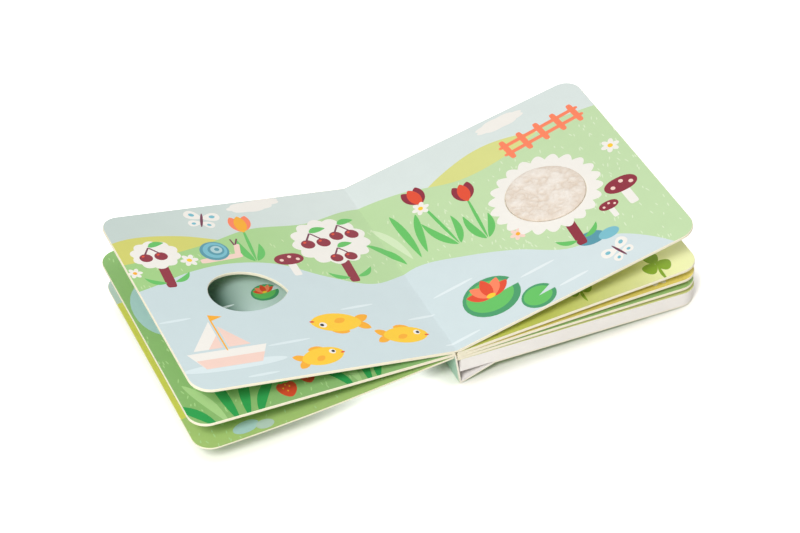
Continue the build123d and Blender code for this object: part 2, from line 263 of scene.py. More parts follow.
def anticlockwise(loop):
    """The outline in the order that keeps its inside on the left."""
    area = sum(a.cross(b) for a, b in zip(loop, loop[1:] + loop[:1]))
    return loop if area > 0 else loop[::-1]


# The leaves
# Each spread is one printed sheet, folded at the gutter. The backs of neighbouring sheets are
# glued together, so that a leaf is two plies of board with the print outside.
page_height = 182.0
corner_radius = 13.0
leaf_thickness = 2.2
ply = leaf_thickness / 2
cover_thickness = 1.2
block_thickness = 10.4
back_tilt = 3.15
left_rises = [12.55, 3.75]
right_rises = [11.45, 1.65, -0.55, -2.25]
gutter_gap = 0.8
fold_start = 1.2
fold_tuck = 0.9 * ply
edge_round = 0.3

block_top = (page_width * sin(radians(back_tilt))
             + (cover_thickness + block_thickness) / cos(radians(back_tilt)))
gutter_height = block_top + len(right_rises) * leaf_thickness


def printed_side(root, outward, right):
    """Matrix from a page laid flat to its place. Right pages run outward, left ones inward."""
    along = outward if right else -outward
    ex = Vector((along.x, 0, along.y))
    ey = Vector((0, 1, 0))
    turn = Matrix((ex, ey, ex.cross(ey))).transposed().to_4x4()
    return Matrix.Translation((root.x, 0, root.y)) @ turn


def page_at(side, place, under=False):
    """Matrix from a page laid flat to a leaf's upper face, or to its lower one."""
    rise = radians((right_rises if side > 0 else left_rises)[place])
    outward = Vector((side * cos(rise), sin(rise)))
    root = Vector((side * gutter_gap / 2, gutter_height - place * leaf_thickness))
    if under:
        root -= Vector((-outward.y, outward.x)) * side * leaf_thickness
    return printed_side(root, outward, (side > 0) != under)


def new_object(name, data):
    """An object with this data, in the scene."""
    made = bpy.data.objects.new(name, data)
    bpy.context.scene.collection.objects.link(made)
    return made


def page_outline(left, right, inset=0.0):
    """The cut outline of a sheet from its left to its right end, rounded at its fore-edges."""
    low, high = left + inset * (left < -1), right - inset * (right > 1)
    bm = bmesh.new()
    bmesh.ops.create_grid(bm, x_segments=1, y_segments=1, size=0.5)
    bmesh.ops.transform(bm, verts=bm.verts, matrix=Matrix.Translation(((low + high) / 2, 0, 0))
                        @ Matrix.Diagonal((high - low, page_height - 2 * inset, 1, 1)))
    corners = [v for v in bm.verts if abs(v.co.x) > 1]
    bmesh.ops.bevel(bm, geom=corners, offset=corner_radius - inset, segments=10, profile=0.5,
                    affect="VERTICES", material=-1)
    return outline_of(bm)


def printed_flat(name, ends, half, print_shapes, base, holes):
    """The sheet laid flat as a mesh, cut to its outline and holes and parted into its inks."""
    rims = [[p + (p - sum(hole, Vector((0, 0))) / len(hole)).normalized() * edge_round
             for p in hole] for hole in holes]
    loops = [page_outline(*ends), page_outline(*ends, edge_round), *holes, *rims]
    cut_through = set(range(2, 2 + len(holes)))
    rim_rings = set(range(2 + len(holes), len(loops)))
    if half:
        loops.append(box(-half, half))
    guides = len(loops)
    loops += [shape for _, shape in print_shapes]
    points, faces = [], []
    for loop in loops:
        faces.append(list(range(len(points), len(points) + len(loop))))
        points += anticlockwise(loop)
    cut_points, _, cut_faces, _, _, sources = delaunay_2d_cdt(points, [], faces, 1, 1e-4)

    inks = [base, board]
    kept, slots = [], []
    for corners, source in zip(cut_faces, sources):
        inside = set(source)
        if 0 not in inside or inside & cut_through:
            continue
        painted = [place - guides for place in inside if place >= guides]
        if 1 not in inside or inside & rim_rings:
            colour = board
        elif painted:
            colour = print_shapes[max(painted)][0]
        else:
            colour = base
        if colour not in inks:
            inks.append(colour)
        kept.append(corners)
        slots.append(inks.index(colour))
    mesh = bpy.data.meshes.new(name)
    mesh.from_pydata([(p.x, p.y, 0) for p in cut_points], [], kept)
    mesh.polygons.foreach_set("material_index", slots)
    for colour in inks:
        mesh.materials.append(colour)
    return mesh


def folded(x, y, depth, half, start, tuck, left, right):
    """Where a point of the flat sheet lies once the sheet is folded at the gutter."""
    reach = start - (tuck if depth < 0 and abs(x) <= half else 0.0)
    on_left = left and left @ Vector((min(x + half, 0) - reach, y, depth))
    on_right = right and right @ Vector((max(x - half, 0) + reach, y, depth))
    if not half or abs(x) >= half:
        return on_left if left and (x < 0 or not right) else on_right
    return on_left.lerp(on_right, (x + half) / (2 * half))


def cut_sheet(name, left, right, print_shapes, base, thickness, holes=(), hard_fold=False,
              width=page_width, bend=None, bend_lines=()):
    """One printed sheet of board with its pages in place. left and right are the matrices of its
    pages, print_shapes its (ink, outline) pairs from the lowest up, and holes are cut through.
    bend gives a point's place across and its depth in a sheet that isn't flat, and the flat
    sheet is cut along bend_lines for it."""
    half = gutter_gap / 2 if left and right else 0.0
    start, tuck = (fold_start, fold_tuck) if hard_fold else (0.0, 0.0)
    ends = (-half - width + start if left else 0.0, half + width - start if right else 0.0)
    mesh = printed_flat(name, ends, half, print_shapes, base, holes)
    bm = bmesh.new()
    bm.from_mesh(mesh)
    bmesh.ops.delete(bm, geom=[v for v in bm.verts if not v.link_faces], context="VERTS")
    for x in bend_lines:
        bmesh.ops.bisect_plane(bm, geom=[*bm.verts, *bm.edges, *bm.faces], dist=1e-4,
                               plane_co=(x, 0, 0), plane_no=(1, 0, 0))
    rim = bm.verts.layers.int.new("rim")
    for v in bm.verts:
        v[rim] = v.is_boundary
    lifted = bmesh.ops.extrude_face_region(bm, geom=bm.faces[:])["geom"]
    top = {v for v in lifted if isinstance(v, bmesh.types.BMVert)}
    top_faces = {f for f in lifted if isinstance(f, bmesh.types.BMFace)}
    for face in bm.faces:
        if face not in top_faces:
            face.material_index = mesh.materials.find(board.name)
    for v in bm.verts:
        depth = 0.0 if v in top else -thickness
        if v in top and v[rim] and abs(v.co.x) > half + 1:
            depth -= edge_round
        x, depth = bend(v.co.x, depth) if bend else (v.co.x, depth)
        v.co = folded(x, v.co.y, depth, half, start, tuck, left, right) * mm
    bmesh.ops.recalc_face_normals(bm, faces=bm.faces)
    bm.to_mesh(mesh)
    bm.free()
    return new_object(name, mesh)


def page_sheet(name, left, right, print_shapes, base, holes=(), hard_fold=False):
    """A sheet of the pages."""
    piece = cut_sheet(name, left, right, print_shapes, base, ply, holes, hard_fold)
    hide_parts("pages")
    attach(piece, "book")


# The open spread
# The sheet that shows: one meadow over both pages, with a die-cut window on the left page
# and an oval on the right page that the fleece is let into.
# Painted light: the sky, far field, meadow, fleck, water and ripple inks fade from darker at the
# left of the spread to lighter towards the right.
sky = ink("sky", (201, 215, 209), (222, 232, 228), -180, 0)
far_field = ink("far field", (214, 212, 110), (222, 225, 144))
meadow = ink("meadow", (164, 209, 134), (197, 224, 174), -180, 100)
meadow_fleck = ink("meadow fleck", (194, 222, 162), (219, 237, 200), -180, 100)
water = ink("water", (206, 222, 224), (215, 228, 230))
ripple = ink("ripple", (222, 236, 238), (234, 242, 243))
grass = ink("grass", (101, 193, 98))
deep_green = ink("deep green", (72, 155, 104))
wool = ink("off-white", (246, 242, 234))
blush = ink("blush", (248, 214, 200))
dark_red = ink("dark red", (140, 38, 56))
plum = ink("plum", (112, 50, 74))
orange = ink("orange", (254, 134, 96))
poppy = ink("poppy", (228, 78, 48))
yellow = ink("yellow", (254, 206, 52))
amber = ink("amber", (250, 176, 44))
teal = ink("teal", (122, 190, 204))
slate_blue = ink("slate blue", (86, 152, 168))
pale_teal = ink("pale teal", (176, 210, 212))
night = ink("black", (34, 30, 32))


def flecks(colour, seed, count, left, right, low, high):
    """Small light strokes, strewn over a field."""
    draw = random.Random(seed)
    for _ in range(count):
        x, y = draw.uniform(left, right), draw.uniform(low, high)
        yield colour, spot(x, y, draw.uniform(2.4, 4.2), 0.9, draw.uniform(60, 110), points=8)


def tuft(x, y, colour, pale, width, *blades):
    """Slim blades that fan out side by side, one of them pale, as (length, turn, bend)."""
    for place, (length, turn, bend) in enumerate(blades):
        yield (pale if place == 1 else colour), blade(x + place * width, y + place % 2 * 2, length,
                                                      width, turn, bend, 0.2)


def tulip(x, y, height, lean, head, heart):
    """A tulip on a leaning stem with two leaves."""
    yield grass, blade(x, y, height, 2.4, lean)
    yield grass, blade(x - 1, y, height * 0.6, 5.5, lean + 15, 2)
    yield grass, blade(x + 1, y, height * 0.48, 5, lean - 17, -2)
    top = Vector((x, y)) + turned(lean, height)
    for side in (-1, 1):
        yield head, spot(top.x + side * 3.4, top.y + 1, 17, 8.5, lean - side * 14, 2, 1.3)
    yield heart, spot(top.x, top.y + 0.5, 18, 8.5, lean, 2, 1.3)


def daisy(x, y, size, petal, heart, petals=6):
    """A small flower seen from above."""
    for place in range(petals):
        turn = 360 / petals * place
        reach = turned(turn, size * 0.3)
        yield petal, spot(x + reach.x, y + reach.y, size * 0.46, size * 0.3, turn, points=14)
    yield heart, spot(x, y, size * 0.3, size * 0.3, points=14)


def butterfly(x, y, size, turn, wing, trim):
    """A butterfly with four wings and a slim body."""
    for side in (-1, 1):
        for ahead, reach, width in ((0.22, 0.62, 0.42), (-0.2, 0.46, 0.32)):
            at = turned(turn, ahead * size, side * reach * size * 0.5)
            angle = turn + side * (90 - ahead * 90)
            yield wing, spot(x + at.x, y + at.y, reach * size, width * size, angle, taper=0.35)
            yield trim, spot(x + at.x * 1.12, y + at.y * 1.12, reach * size * 0.34,
                             width * size * 0.4, angle, points=12)
    yield plum, spot(x, y, size * 0.78, size * 0.1, turn, points=14)


def fish(x, y, length, turn, body, fin):
    """A fish that swims the way it is turned. Its parts are laid out in shares of its length."""
    def part(colour, along, across, long, wide, tilt=0.0, sides=2.0):
        at = turned(turn, along * length, across * length)
        return colour, spot(x + at.x, y + at.y, long * length, wide * length, turn + tilt,
                            sides=sides)

    yield part(fin, -0.5, 0.1, 0.36, 0.2, tilt=-32, sides=1.4)
    yield part(fin, -0.5, -0.1, 0.36, 0.2, tilt=32, sides=1.4)
    yield part(fin, -0.02, 0.24, 0.4, 0.2, tilt=-12, sides=1.4)
    yield part(body, 0, 0, 1.0, 0.54, sides=1.75)
    yield part(fin, -0.08, -0.05, 0.24, 0.15, tilt=24, sides=1.4)
    yield part(wool, 0.27, 0.07, 0.15, 0.15)
    yield part(night, 0.29, 0.07, 0.08, 0.08)
    yield part(poppy, 0.47, -0.03, 0.1, 0.05)


def sailing_boat(x, y, size):
    """A little boat with two sails on calm water. Its corners are shares of its length."""
    yield ripple, spot(x, y - size * 0.16, size * 1.3, size * 0.15)
    for colour, corner_shares in (
        (wool, ((-0.03, 0.66), (-0.03, 0.17), (-0.4, 0.17))),
        (blush, ((-0.03, 0.4), (-0.03, 0.17), (-0.21, 0.17))),
        (blush, ((0.04, 0.56), (0.32, 0.17), (0.04, 0.17))),
        (wool, ((-0.5, 0.13), (0.5, 0.13), (0.34, -0.16), (-0.36, -0.16))),
        (blush, ((-0.43, 0.0), (0.43, 0.0), (0.34, -0.16), (-0.36, -0.16))),
        (amber, ((0.0, 0.78), (0.0, 0.66), (0.17, 0.72))),
    ):
        yield colour, [Vector((x + along * size, y + up * size)) for along, up in corner_shares]
    yield amber, bar(x + size * 0.005, y + size * 0.42, size * 0.62, size * 0.022, 90)


def fluffy_tree(x, y, length, width, lobes, cherries=()):
    """A round tree in blossom on a forked trunk, with pairs of cherries at the given places."""
    foot = y - width / 2
    yield dark_red, bar(x, foot - trunk_reach / 2 + 4, trunk_reach + 12, 7, 87)
    yield grass, blade(x - 3, foot - trunk_reach + 3, 15, 4, 148, 2)
    yield grass, blade(x + 3, foot - trunk_reach + 3, 15, 4, 34, -2)
    yield wool, puff(x, y, length, width, lobes)
    for along, up, size in cherries:
        at = Vector((x + along, y + up))
        yield grass, blade(at.x, at.y + size * 0.9, size * 1.2, size * 0.5, 12, 1)
        for side, lean in ((-1, 56), (1, 128)):
            yield plum, bar(at.x + side * size * 0.3, at.y + size * 0.42, size, size * 0.12, lean)
            middle = at.x + side * size * 0.52
            yield dark_red, spot(middle, at.y - size * 0.2, size * 0.9, size * 0.84)
            yield poppy, spot(middle - size * 0.14, at.y, size * 0.24, size * 0.18, 30, points=10)


def mushroom(x, y, size):
    """A mushroom with a spotted cap."""
    yield wool, bar(x, y, size * 0.9, size * 0.3, 90)
    yield dark_red, spot(x, y + size * 0.5, size * 1.1, size * 0.62, 0, 2.4, 2.0)
    for along, up in ((-0.28, 0.48), (0.06, 0.62), (0.32, 0.44)):
        yield blush, spot(x + along * size, y + up * size, size * 0.15, size * 0.15, points=12)


def fence(x, y, length, turn):
    """A rail fence on a hill: two rails and round-topped posts."""
    posts = 5
    for up in (4, -4):
        at = turned(turn, 0, up)
        yield orange, bar(x + at.x, y + at.y, length, 3.2, turn)
    for place in range(posts):
        at = turned(turn, (place / (posts - 1) - 0.5) * length * 0.86)
        yield orange, spot(x + at.x, y + at.y, 20, 4.4, turn + 90, 5.0, 4.0)


def snail(x, y, size):
    """A snail with a round shell."""
    yield blush, bar(x + size * 0.1, y - size * 0.42, size * 1.5, size * 0.24, 3)
    yield blush, bar(x + size * 0.78, y - size * 0.1, size * 0.66, size * 0.2, 74)
    for lean in (62, 96):
        yield plum, bar(x + size * (1.16 - lean / 240), y + size * 0.34, size * 0.34, size * 0.06,
                        lean)
    for colour, along, up, share in (
        (slate_blue, 0, 0, 1),
        (teal, 0.03, 0.03, 0.82),
        (slate_blue, 0.07, 0.04, 0.56),
        (pale_teal, 0.09, 0.06, 0.4),
        (slate_blue, 0.11, 0.07, 0.17),
    ):
        yield colour, spot(x + size * along, y + size * up, size * share, size * share)


def lily(x, y, size, flower):
    """A lily pad with its notch, and a flower on it where flower is true."""
    yield deep_green, spot(x, y, size, size * 0.86)
    yield grass, spot(x - size * 0.02, y + size * 0.02, size * 0.82, size * 0.68)
    yield water, [Vector((x, y)), Vector((x + size * 0.56, y + size * 0.02)),
                  Vector((x + size * 0.5, y + size * 0.24))]
    if flower:
        for turn in (28, 152, 54, 126, 90):
            at = turned(turn, size * 0.2)
            petal = spot(x + at.x, y + at.y, size * 0.44, size * 0.2, turn, 2, 1.2)
            yield (poppy if turn in (28, 152, 90) else orange), petal
        yield yellow, spot(x, y + size * 0.02, size * 0.16, size * 0.1)


window_tip = (-84.0, -8.5)
window_length = 59.0
window_rise = 25.8
window_drop = 14.7
window_end_lift = 0.6
window_end_radius = 19.7
fleece_centre = (112.4, 0.0)
fleece_size = (55.0, 51.0)
fleece_turn = -25.0
fleece_clearance = 0.3
trunk_reach = 18.0


def round_centre(start, middle, end):
    """Centre of the circle through three places in the complex plane."""
    ratio = (end - start) / (middle - start)
    return (middle - start) * (ratio - abs(ratio) ** 2) / (2j * ratio.imag) + start


def arc(centre, start, end, steps):
    """Places on the shorter arc about a centre, without the last one."""
    turn = phase((end - centre) / (start - centre))
    return [centre + (start - centre) * rect(1, turn * step / steps) for step in range(steps)]


def peek_window():
    """The die-cut eye: two arcs that meet in a point towards the gutter, and a round outer end."""
    tip = complex(*window_tip)
    end = tip + complex(-window_length, window_end_lift)
    middle = (tip + end) / 2
    above = round_centre(tip, middle + window_rise * 1j, end)
    below = round_centre(tip, middle - window_drop * 1j, end)
    reach_above = abs(tip - above) - window_end_radius
    reach_below = abs(tip - below) - window_end_radius
    apart = below - above
    along = (reach_above ** 2 - reach_below ** 2 + abs(apart) ** 2) / (2 * abs(apart))
    aside = (reach_above ** 2 - along ** 2) ** 0.5
    last = min((above + apart / abs(apart) * complex(along, way * aside) for way in (-1, 1)),
               key=lambda place: place.real)
    top = above + (last - above) * abs(tip - above) / reach_above
    low = below + (last - below) * abs(tip - below) / reach_below
    line = arc(above, tip, top, 28) + arc(last, top, low, 18) + arc(below, low, tip, 22)
    return [Vector((p.real, p.imag)) for p in line]


window = peek_window()
fleece_hole = spot(*fleece_centre, fleece_size[0] + 2 * fleece_clearance,
                   fleece_size[1] + 2 * fleece_clearance, fleece_turn, points=72)

meadow_print = [
    (wool, puff(-74, 84, 34, 12, 7)),
    (wool, puff(-62, 87, 22, 9, 6)),
    (wool, puff(118, 82, 38, 12, 8)),
    (far_field, ground((-200, 56), (-168, 66), (-132, 62), (-96, 48), (-60, 40), (-20, 40))),
    (far_field, ground((20, 40), (60, 60), (96, 68), (130, 60), (160, 40))),
    (meadow, ground((-200, 38), (-160, 42), (-120, 50), (-84, 60), (-44, 58), (-8, 66), (30, 62),
                    (70, 48), (110, 50), (150, 60), (200, 52))),
    *flecks(meadow_fleck, 5, 680, -180, 180, -90, 46),
    (water, ground((-200, 6), (-170, 14), (-140, 24), (-110, 27), (-80, 20), (-52, 0), (-24, -14),
                   (10, -8), (40, -18), (72, -34), (100, -54), (130, -60), (152, -78),
                   (170, -104))),
    *((ripple, spot(x, y, length, 2.2, 2, points=20)) for x, y, length in (
        (-168, -22, 22), (-104, -58, 30), (-46, -34, 24), (-8, -54, 20), (22, -40, 30),
        (76, -58, 26), (92, -80, 22), (8, -84, 26), (-132, -84, 22))),
    *tuft(6, -2, grass, meadow_fleck, 5.5, (34, 122, -3), (44, 107, -2), (48, 93, -1),
          (38, 78, 1)),
    *tulip(-92, 26, 40, 84, orange, amber),
    *tulip(44, -6, 58, 97, dark_red, poppy),
    *tulip(62, -13, 48, 84, dark_red, poppy),
    (slate_blue, spot(118, -55, 20, 12, -8)),
    (teal, spot(130, -58, 15, 9, 4)),
    *mushroom(-70, 14, 19),
    *mushroom(158, -34, 22),
    *mushroom(142, -42, 13),
    *daisy(-136, 36, 12, wool, yellow),
    *daisy(-176, 30, 10, wool, amber),
    *daisy(36, 40, 12, wool, yellow),
    *daisy(170, 14, 13, wool, yellow),
    *daisy(80, -22, 11, blush, amber),
    *fish(-66, -46, 34, 170, yellow, amber),
    *fish(-88, -76, 30, 8, yellow, amber),
    *fish(-26, -68, 30, -8, yellow, amber),
    *lily(40, -62, 40, True),
    *lily(66, -80, 24, False),
    *sailing_boat(-146, -63, 54),
    *fluffy_tree(-34, 36, 56, 50, 13, ((-11, 2, 11), (12, 7, 11), (2, -16, 10))),
    *fluffy_tree(-156, 46, 34, 30, 10, ((-2, 0, 10),)),
    *fluffy_tree(*fleece_centre, 80, 74, 22),
    *fence(138, 56, 64, 4),
    *snail(-116, 42, 20),
    *butterfly(-112, 76, 20, 70, wool, teal),
    *butterfly(128, -76, 18, 110, wool, teal),
]
page_sheet("open_spread", page_at(-1, 0), page_at(1, 0), meadow_print, sky, [window, fleece_hole])

# The inner sheets
# Each is a sheet of the same board, folded hard at the gutter, with its print inside the fold:
# one page under the leaf above, the other on the leaf below. They show at the fanned edges.
# Painted shadow: the pond ink goes from dark teal at the left of the window in the leaf above to
# pale teal at its right.
pond_painted_shade = ink("pond_painted_shade", (62, 106, 92), (194, 219, 212), -130, -98)
# Painted shade: the lawn ink is a little darker towards the left of the page.
lawn = ink("lawn", (149, 193, 121), (158, 201, 130), -180, -20)
lawn_fleck = ink("lawn fleck", (182, 218, 150))
straw = ink("straw", (216, 215, 94))
mist = ink("mist", (190, 210, 202))
# The lemon ink is darker towards the gutter: partly the page's own yellow-green and partly painted
# shade under the leaf above.
lemon = ink("lemon", (204, 211, 100), (244, 246, 190), 50, 180)
ochre = ink("ochre", (233, 214, 112))
spring = ink("spring green", (164, 206, 128))
olive = ink("olive leaf", (135, 170, 45))
reed = ink("reed", (52, 166, 88))


def whole_page(colour, side):
    """The field of one whole page of a sheet."""
    return colour, box(0, side * page_width)


def clover(x, y, size, colour):
    """A clover leaf on its stalk."""
    yield colour, blade(x, y - size, size, size * 0.14, 84, 1)
    for turn in (90, 210, 330):
        at = turned(turn, size * 0.32)
        yield colour, spot(x + at.x, y + at.y, size * 0.62, size * 0.58, turn, 2.4, 2.0, taper=0.3)


def strawberry(x, y, size):
    """A strawberry with pips and a green cap."""
    yield poppy, spot(x, y, size, size * 0.84, 90, 2.2, 1.8, taper=0.3)
    for along, up in ((-0.16, 0.1), (0.14, 0.14), (-0.02, -0.1), (0.0, 0.28)):
        yield yellow, spot(x + along * size, y + up * size, size * 0.09, size * 0.06, 90, points=10)
    for turn in (30, 90, 150):
        yield grass, blade(x, y + size * 0.42, size * 0.4, size * 0.2, turn)


lawn_print = [
    *flecks(lawn_fleck, 11, 430, -180, 0, -90, 90),
    (pale_teal, spot(-160, 24, 34, 56)),
    (pond_painted_shade, spot(-96, 26, 136, 104, 5)),
    (ripple, spot(-100, 40, 34, 2.4, 2, points=20)),
    (ripple, spot(-126, 8, 26, 2.2, 2, points=20)),
    *lily(-90, 12, 19, True),
    *tuft(-164, -97, reed, lawn_fleck, 7, (36, 126, -3), (46, 110, -2), (52, 94, 0), (46, 76, 1),
          (38, 58, 3)),
    *tuft(-72, -97, reed, lawn_fleck, 6, (30, 118, -3), (38, 100, -1), (42, 82, 1), (32, 64, 3)),
    *strawberry(-112, -80, 15),
    *strawberry(-96, -74, 12),
    whole_page(spring, 1),
    *flecks(lawn_fleck, 12, 120, 0, 180, -90, 90),
    *daisy(60, -40, 18, wool, yellow),
    *daisy(120, 30, 22, wool, amber),
]
lemon_print = [
    whole_page(far_field, -1),
    *daisy(-60, 20, 26, wool, amber),
    *daisy(-130, -40, 22, wool, yellow),
    *clover(152, -76, 17, olive),
    *clover(96, -72, 15, olive),
    *daisy(126, -64, 12, wool, amber),
    *daisy(60, 30, 24, wool, orange),
]
ochre_print = [
    whole_page(lemon, -1),
    *daisy(-90, 0, 30, wool, orange),
    *daisy(150, -80, 16, wool, poppy),
    *daisy(90, 10, 34, wool, poppy),
]
spring_print = [
    whole_page(ochre, -1),
    *daisy(-90, 20, 30, wool, poppy),
    *flecks(lawn_fleck, 13, 120, 0, 180, -90, 90),
    *clover(100, 0, 40, grass),
]
last_print = list(flecks(lawn_fleck, 21, 120, -180, 180, -90, 90))
window_below = [Vector((-p.x - fold_start, p.y)) for p in window]
page_sheet("left_fold", page_at(-1, 1), page_at(-1, 0, True), lawn_print, lawn, [window_below],
           hard_fold=True)
for place, (shapes, base) in enumerate(
    ((lemon_print, lemon), (ochre_print, ochre), (spring_print, spring)), 1
):
    page_sheet(f"right_fold_{place}", page_at(1, place - 1, True), page_at(1, place), shapes, base,
               hard_fold=True)
page_sheet("left_last_ply", None, page_at(-1, 1, True), last_print, spring)
page_sheet("right_last_ply", page_at(1, 3, True), None, last_print, straw)

# Front cover
# A stiff board card, printed inside and out, that lies open under the left-hand leaves. Its two
# plies are glued together. It turns on the fold beside the spine and curls up at its fore-edge.
cover_width = 177.0
cover_droop = 4.3
cover_flat = 75.0
cover_curl_radius = 1030.0
curl_steps = 12
fold_clearance = 0.3
clover_green = (160, 196, 118)
cover_green = ink("cover green", clover_green)
cover_dot = ink("cover dot", (204, 224, 168))
left_foot = gutter_height - len(left_rises) * leaf_thickness
hinge = Vector((-gutter_gap / 2 - cover_thickness - fold_clearance,
                left_foot - fold_clearance - cover_thickness))
cover_out = Vector((-cos(radians(cover_droop)), -sin(radians(cover_droop))))
cover_up = Vector((cover_out.y, -cover_out.x))


def curled(x, depth):
    """Place and depth in the curled card. The inside is laid out on negative X."""
    inside = x < 0
    along = abs(x)
    height = cover_thickness + depth if inside else -depth
    if along > cover_flat:
        turn = (along - cover_flat) / cover_curl_radius
        arm = cover_curl_radius - height
        along = cover_flat + arm * sin(turn)
        height = cover_curl_radius - arm * cos(turn)
    return (-along, height - cover_thickness) if inside else (along, -height)


moss = ink("moss", (173, 202, 122))
inside_print = [
    (straw, ground((-200, 60), (-150, 64), (-100, 56), (-50, 62), (10, 58))),
    (moss, ground((-200, -62), (-150, -56), (-100, -66), (-50, -60), (10, -66))),
    *flecks(lawn_fleck, 31, 60, -180, 0, -90, -66),
    (pale_teal, spot(-142, -82, 18, 10, 8)),
    (mist, spot(-130, -85, 12, 8, -4)),
    *daisy(-100, 0, 30, wool, orange),
    *tuft(-168, -56, moss, lawn_fleck, 4, (22, 104, -2), (27, 88, 0), (24, 70, 1)),
]
dot_gap = 26
outside_print = [
    *((cover_dot, spot(x + row % 2 * dot_gap / 2, y, 7, 7, points=16))
      for row, y in enumerate(range(-78, 92, dot_gap)) for x in range(13, 180, dot_gap)),
    (wool, puff(90, 0, 104, 104, 22)),
    (cover_green, puff(90, 0, 90, 90, 22)),
    *daisy(90, 0, 56, wool, yellow, 8),
]
for name, side, root, shapes, base in (
    ("front_cover_inside", -1, hinge + cover_up * cover_thickness, inside_print, mist),
    ("front_cover_outside", 1, hinge, outside_print, cover_green),
):
    page = printed_side(root, cover_out, side > 0)
    lines = [side * (cover_flat + (cover_width - cover_flat) * step / curl_steps)
             for step in range(curl_steps)]
    card = cut_sheet(name, page if side < 0 else None, page if side > 0 else None, shapes, base,
                     cover_thickness / 2, width=cover_width, bend=curled, bend_lines=lines)
    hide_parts("front_cover")
    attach(card, "front_cover")

# Fleece patch
# An oval of cream curly pile on a knitted back, glued into a die-cut hole in the page.
# The pile lies in soft lumps with faint creases between them, and swells a little over the rim. Its
# colour carries painted shade, darker in the creases and at the rim and lighter on the lumps.
pile_height = 1.9
pile_swell = 0.7
pile_rim = 0.25
pile_steps = 180
lowest_pile = 0.45
tuck_start = 0.985
lump_size = 5.5
drift_size = 8.0
drift_reach = 2.0
patch_size = 9.0
curl_size = 2.0
hair_size = 0.7
crease_slope = 1.2
lump_share = 0.45
curl_share = 0.33
hair_share = 0.22
pile_seed = 1


def pile_relief(x, y):
    """Height of the pile between 0 in the deepest crease and 1 on a lump, at a place in mm."""
    drift = noise.noise_vector(Vector((x, y, 3)) / drift_size) * drift_reach
    at = Vector((x + drift.x, y + drift.y, 0))
    first, second = noise.voronoi(at / lump_size)[0][:2]
    crease = min((second - first) * crease_slope, 1.0)
    depth = min(max(noise.noise(Vector((x, y, 20)) / patch_size) * 2.0 + 0.55, 0.1), 1.0)
    curls = noise.noise(at / curl_size + Vector((7, 1, 4))) * 0.5 + 0.5
    hair = noise.noise(at / hair_size) * 0.5 + 0.5
    lumps = 1 - depth * (1 - crease) ** 1.5
    return lump_share * lumps + curl_share * curls + hair_share * hair


def pile_mesh():
    """The pile on its page: a grid drawn out to an oval, with its rim tucked into the hole.
    The seed is fixed, or the noise vectors would be others in each run."""
    noise.seed_set(pile_seed)
    bm = bmesh.new()
    bmesh.ops.create_grid(bm, x_segments=pile_steps, y_segments=pile_steps, size=1.0)
    shade_layer = bm.verts.layers.float.new("painted pile shade")
    for v in bm.verts:
        x, y = v.co.x * (1 - v.co.y ** 2 / 2) ** 0.5, v.co.y * (1 - v.co.x ** 2 / 2) ** 0.5
        out = min((x * x + y * y) ** 0.5, 1.0)
        x, y = x * fleece_size[0] / 2, y * fleece_size[1] / 2
        relief = pile_relief(x, y)
        shoulder = (1 - out ** 10) ** 0.5
        tucked = max(out - tuck_start, 0.0) / (1 - tuck_start)
        swell = 1 + pile_swell * (out ** 12 * (1 - tucked)) / (fleece_size[0] / 2)
        height = pile_rim + pile_height * (lowest_pile + (1 - lowest_pile) * relief) * shoulder
        # Painted shade mask: low in the creases and where the pile falls away at the rim.
        v[shade_layer] = relief * (1 + shoulder) / 2
        v.co = Vector((x * swell, y * swell, height - (height + ply) * tucked))
    bmesh.ops.holes_fill(bm, edges=[e for e in bm.edges if e.is_boundary], sides=0)
    on_page = Vector((fleece_centre[0] - gutter_gap / 2, fleece_centre[1], 0))
    placed = (page_at(1, 0) @ Matrix.Translation(on_page)
              @ Matrix.Rotation(radians(fleece_turn), 4, "Z"))
    bmesh.ops.transform(bm, verts=bm.verts, matrix=Matrix.Diagonal((mm, mm, mm, 1)) @ placed)
    bmesh.ops.recalc_face_normals(bm, faces=bm.faces)
    for face in bm.faces:
        face.smooth = len(face.verts) == 4
    mesh = bpy.data.meshes.new("fleece_pile")
    bm.to_mesh(mesh)
    bm.free()
    return mesh


material, tree, shader = surface("curly pile", 1.0, Sheen_Weight=0.35, Sheen_Roughness=0.5,
                                 Specular_IOR_Level=0.1)
# Painted shade and highlight: the pile is darker in its creases and at its rim and lighter on its
# lumps, with random patches of colour on top.
depth = wire(tree, "ShaderNodeAttribute", {"attribute_name": "painted pile shade"}).outputs["Fac"]
strand = clouds(tree, scale=1500.0, detail=4.0)
patchy = clouds(tree, scale=110.0, detail=2.0)
mixed = computed(tree, "MULTIPLY_ADD", patchy, 0.5, depth)
shade_tone = wire(tree, "ShaderNodeMapRange", Value=mixed, From_Min=0.4, From_Max=1.1)
pile = mixed_colour(tree, shade_tone.outputs["Result"], linear((226, 208, 189)), linear((249, 241, 231)))
finish(tree, shader, pile, strand, strength=0.6, distance=0.0004)
fleece = new_object("fleece_pile", pile_mesh())
fleece.data.materials.append(material)
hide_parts("fleece_patch")
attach(fleece, "book")

# Back cover and spine
# One creased card: spine, free hinge strip and the panel glued under the block.
# The spine is printed mint and the back green with pale dots. Inside it is lined with white paper.


def facing(tree, least, *directions):
    """A mask that is 1 where the piece's own surface faces one of the directions."""
    masks = []
    for direction in directions:
        normal = tree.nodes.new("ShaderNodeTexCoord").outputs["Normal"]
        towards = wire(tree, "ShaderNodeVectorMath", {"operation": "DOT_PRODUCT"}, _0=normal,
                       _1=direction).outputs["Value"]
        masks.append(computed(tree, "GREATER_THAN", towards, least))
    return masks[0] if len(masks) == 1 else computed(tree, "MAXIMUM", *masks)


def dress(material, *node_names):
    """Gives CAD nodes their finish."""
    for name in node_names:
        slots = nodes[name].data.materials
        slots.clear()
        slots.append(material)


